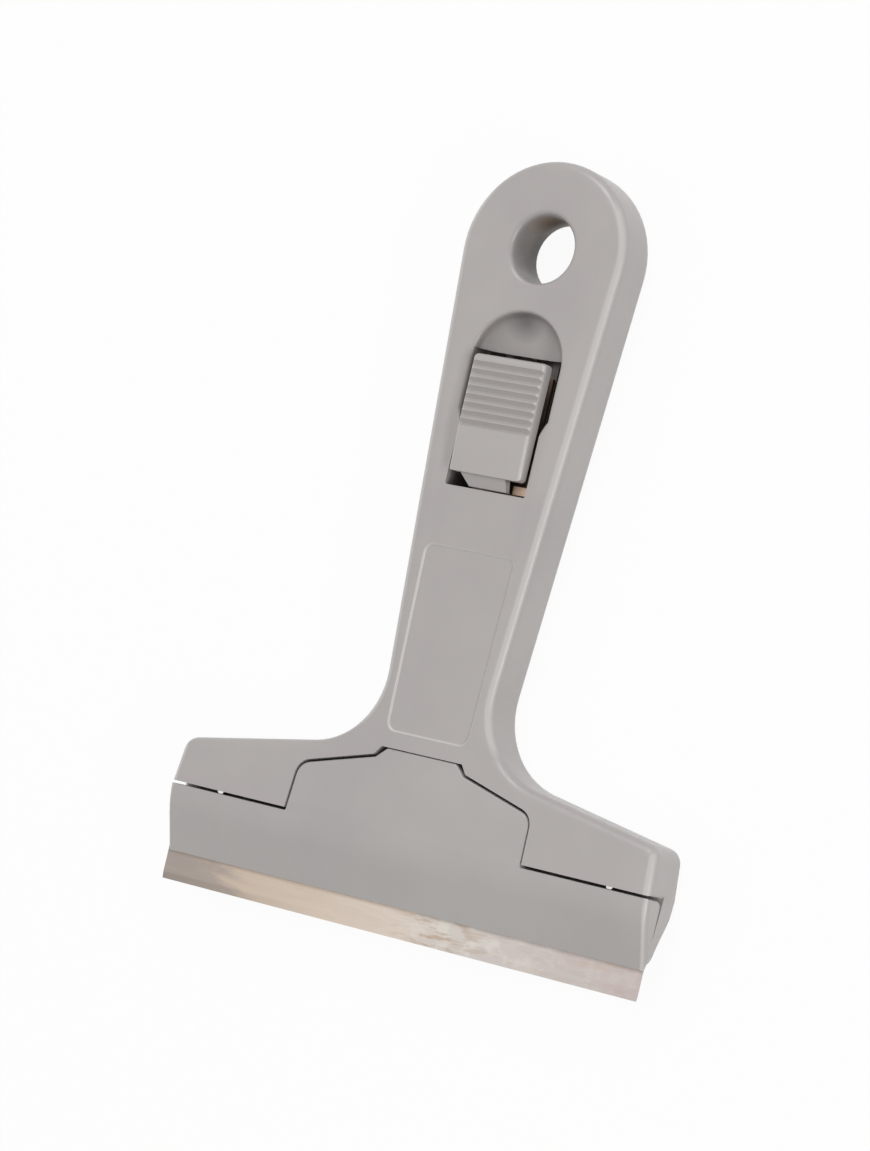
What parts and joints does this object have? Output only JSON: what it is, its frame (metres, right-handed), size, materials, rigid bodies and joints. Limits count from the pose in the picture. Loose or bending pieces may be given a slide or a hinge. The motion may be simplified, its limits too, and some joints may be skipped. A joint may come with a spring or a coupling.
{
  "type": "window scraper",
  "caption": "Hand-held window scraper: a moulded grip with a hang hole, a sprung thumb slide and a T-shaped rocking jaw that clamps a wide flat steel blade.",
  "frame": {"origin": "centre of the bounding box in X and Y, on the plane of the grip's flat back", "axes": "+X along the blade, +Y from the cutting edge up the grip to the hang hole, +Z out of the front face"},
  "size_m": [0.1005, 0.1394, 0.0121],
  "materials": {
    "moulded_grey": "satin warm grey",
    "button_grey": "satin warm grey, a touch lighter",
    "blade_steel": "rolled and polished, with faint smears",
    "plain_steel": "plain drawn steel"
  },
  "bodies": {
    "body": {"handle": "moulded_grey", "pivot_pin_left": "plain_steel", "pivot_pin_right": "plain_steel", "blade_stop_left": "plain_steel", "blade_stop_right": "plain_steel", "return_spring": "plain_steel"},
    "slider": {"slide_button": "button_grey", "ramp_strip": "plain_steel"},
    "jaw": {"jaw_cover": "moulded_grey"},
    "blade": {"blade": "blade_steel"}
  },
  "joints": [
    {"name": "slide_draw", "type": "slide", "parent": "body", "child": "slider", "axis": [0, 1, 0], "range_m": [0, 0.004], "stiffness_N_per_m": 800, "springref_m": -0.002, "deforming": ["return_spring"]},
    {"name": "jaw_open", "type": "hinge", "parent": "body", "child": "jaw", "pos_m": [0, -0.0497, 0.0065], "axis": [-1, 0, 0], "range_deg": [0, 4]},
    {"name": "blade_draw", "type": "slide", "parent": "body", "child": "blade", "axis": [0, -1, 0], "range_m": [0, 0.016]}
  ],
  "couplings": [
    {"joint": "jaw_open", "follows": "slide_draw", "rad_per_m": 17.45}
  ]
}
